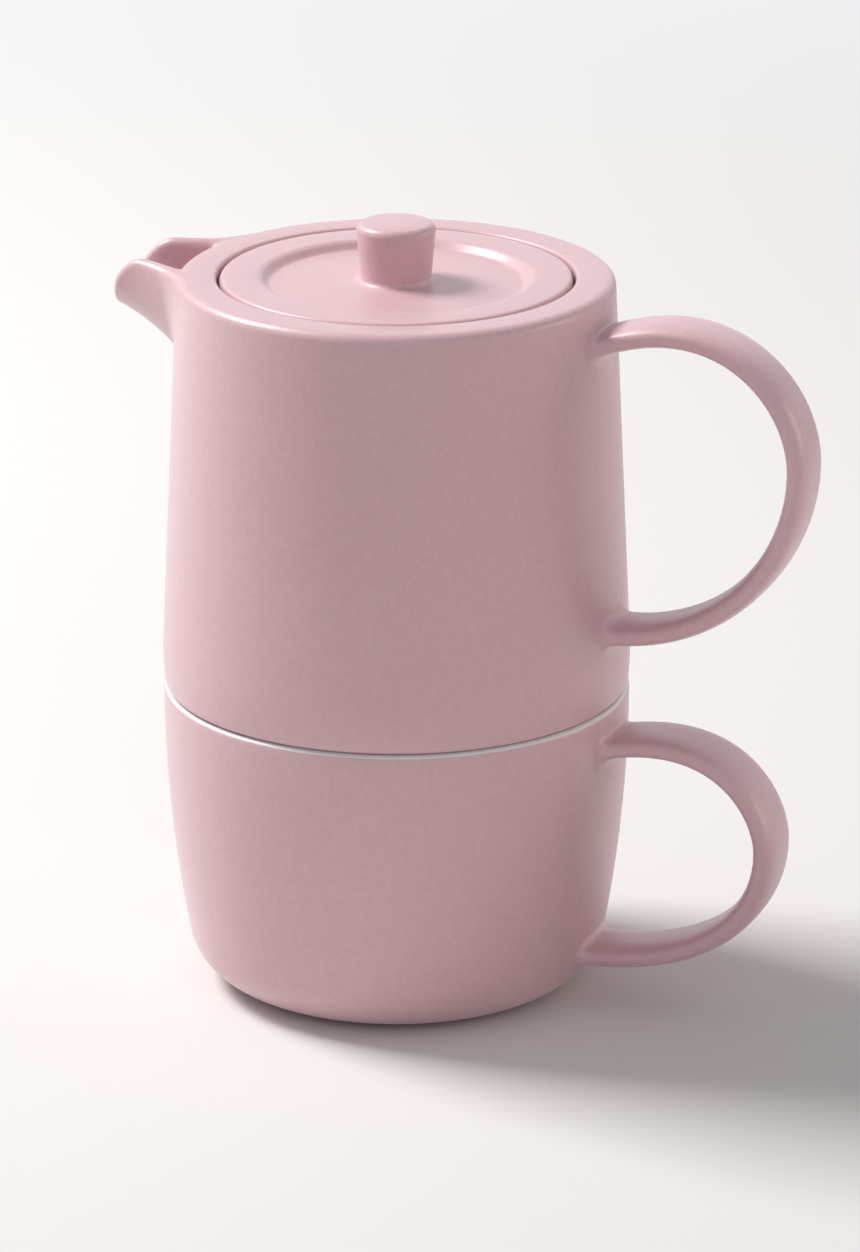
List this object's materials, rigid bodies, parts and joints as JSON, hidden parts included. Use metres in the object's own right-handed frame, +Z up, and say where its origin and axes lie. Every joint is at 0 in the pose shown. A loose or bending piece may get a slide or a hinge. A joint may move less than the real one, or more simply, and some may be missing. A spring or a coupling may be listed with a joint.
{
  "type": "tea for one teapot with cup",
  "caption": "Glazed stoneware teapot with a beak spout, strap handle and sunk lid, nested on the rim of its own handled cup",
  "frame": {"origin": "centre of the cup's foot ring, on the table", "axes": "+Z up, +X towards both handles, -X towards the spout, +Y completes the right-handed frame"},
  "size_m": [0.1567, 0.1002, 0.169],
  "materials": {
    "pink_glaze": "satin glaze on stoneware"
  },
  "bodies": {
    "root": {"cup": "pink_glaze", "teapot": "pink_glaze", "lid": "pink_glaze"}
  },
  "joints": []
}
